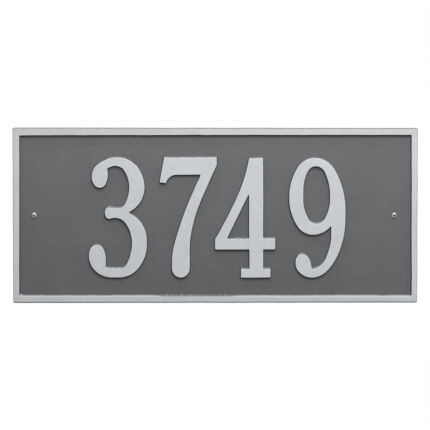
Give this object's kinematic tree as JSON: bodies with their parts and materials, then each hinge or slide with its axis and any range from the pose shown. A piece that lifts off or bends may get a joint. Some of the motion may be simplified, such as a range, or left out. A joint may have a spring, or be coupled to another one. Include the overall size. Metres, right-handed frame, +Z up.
{
  "type": "house number plaque",
  "caption": "Wide cast house number plaque with a raised border and tall raised numerals on a sunk dark field, fixed to a wall with round-head screws.",
  "frame": {"origin": "middle of the casting's back face, in the plane of the wall", "axes": "+X to the reader's right along the plaque, +Y into the wall, +Z up; the numerals face -Y"},
  "size_m": [0.4064, 0.0349, 0.176],
  "materials": {
    "painted_casting": "satin",
    "plated_screw": "polished"
  },
  "bodies": {
    "root": {"plaque": "painted_casting", "mounting_screws": "plated_screw"}
  },
  "joints": []
}
